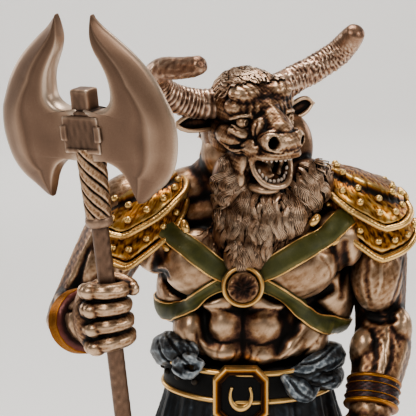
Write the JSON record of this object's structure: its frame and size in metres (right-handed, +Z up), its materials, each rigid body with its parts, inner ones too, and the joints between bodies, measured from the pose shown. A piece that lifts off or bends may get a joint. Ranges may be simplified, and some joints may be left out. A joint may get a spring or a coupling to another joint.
{
  "type": "minotaur statue",
  "caption": "Standing minotaur figurine with a double-headed axe held upright in one fist, on a low rock base, for display.",
  "frame": {"origin": "centre of the rock base's underside", "axes": "+Z up, the figure faces -Y, +X to the viewer's right"},
  "size_m": [0.1423, 0.1051, 0.2384],
  "materials": {
    "cold_cast_bronze": "cold-cast bronze resin, dry-brushed over a dark wash",
    "cast_metal_paint": "cast resin with a metallic bronze-grey paint",
    "painted_rock": "cast resin painted as dark rock",
    "antique_gold_paint": "antique gold paint with dark wash in the recesses",
    "olive_strap_paint": "olive green paint, satin",
    "black_belt_paint": "black paint, satin",
    "dark_red_paint": "dark red paint under gold bands",
    "dark_cloth_paint": "dark blue-grey paint, matte"
  },
  "bodies": {
    "root": {"figure": "cold_cast_bronze", "axe": "cast_metal_paint", "base": "painted_rock"}
  },
  "joints": []
}
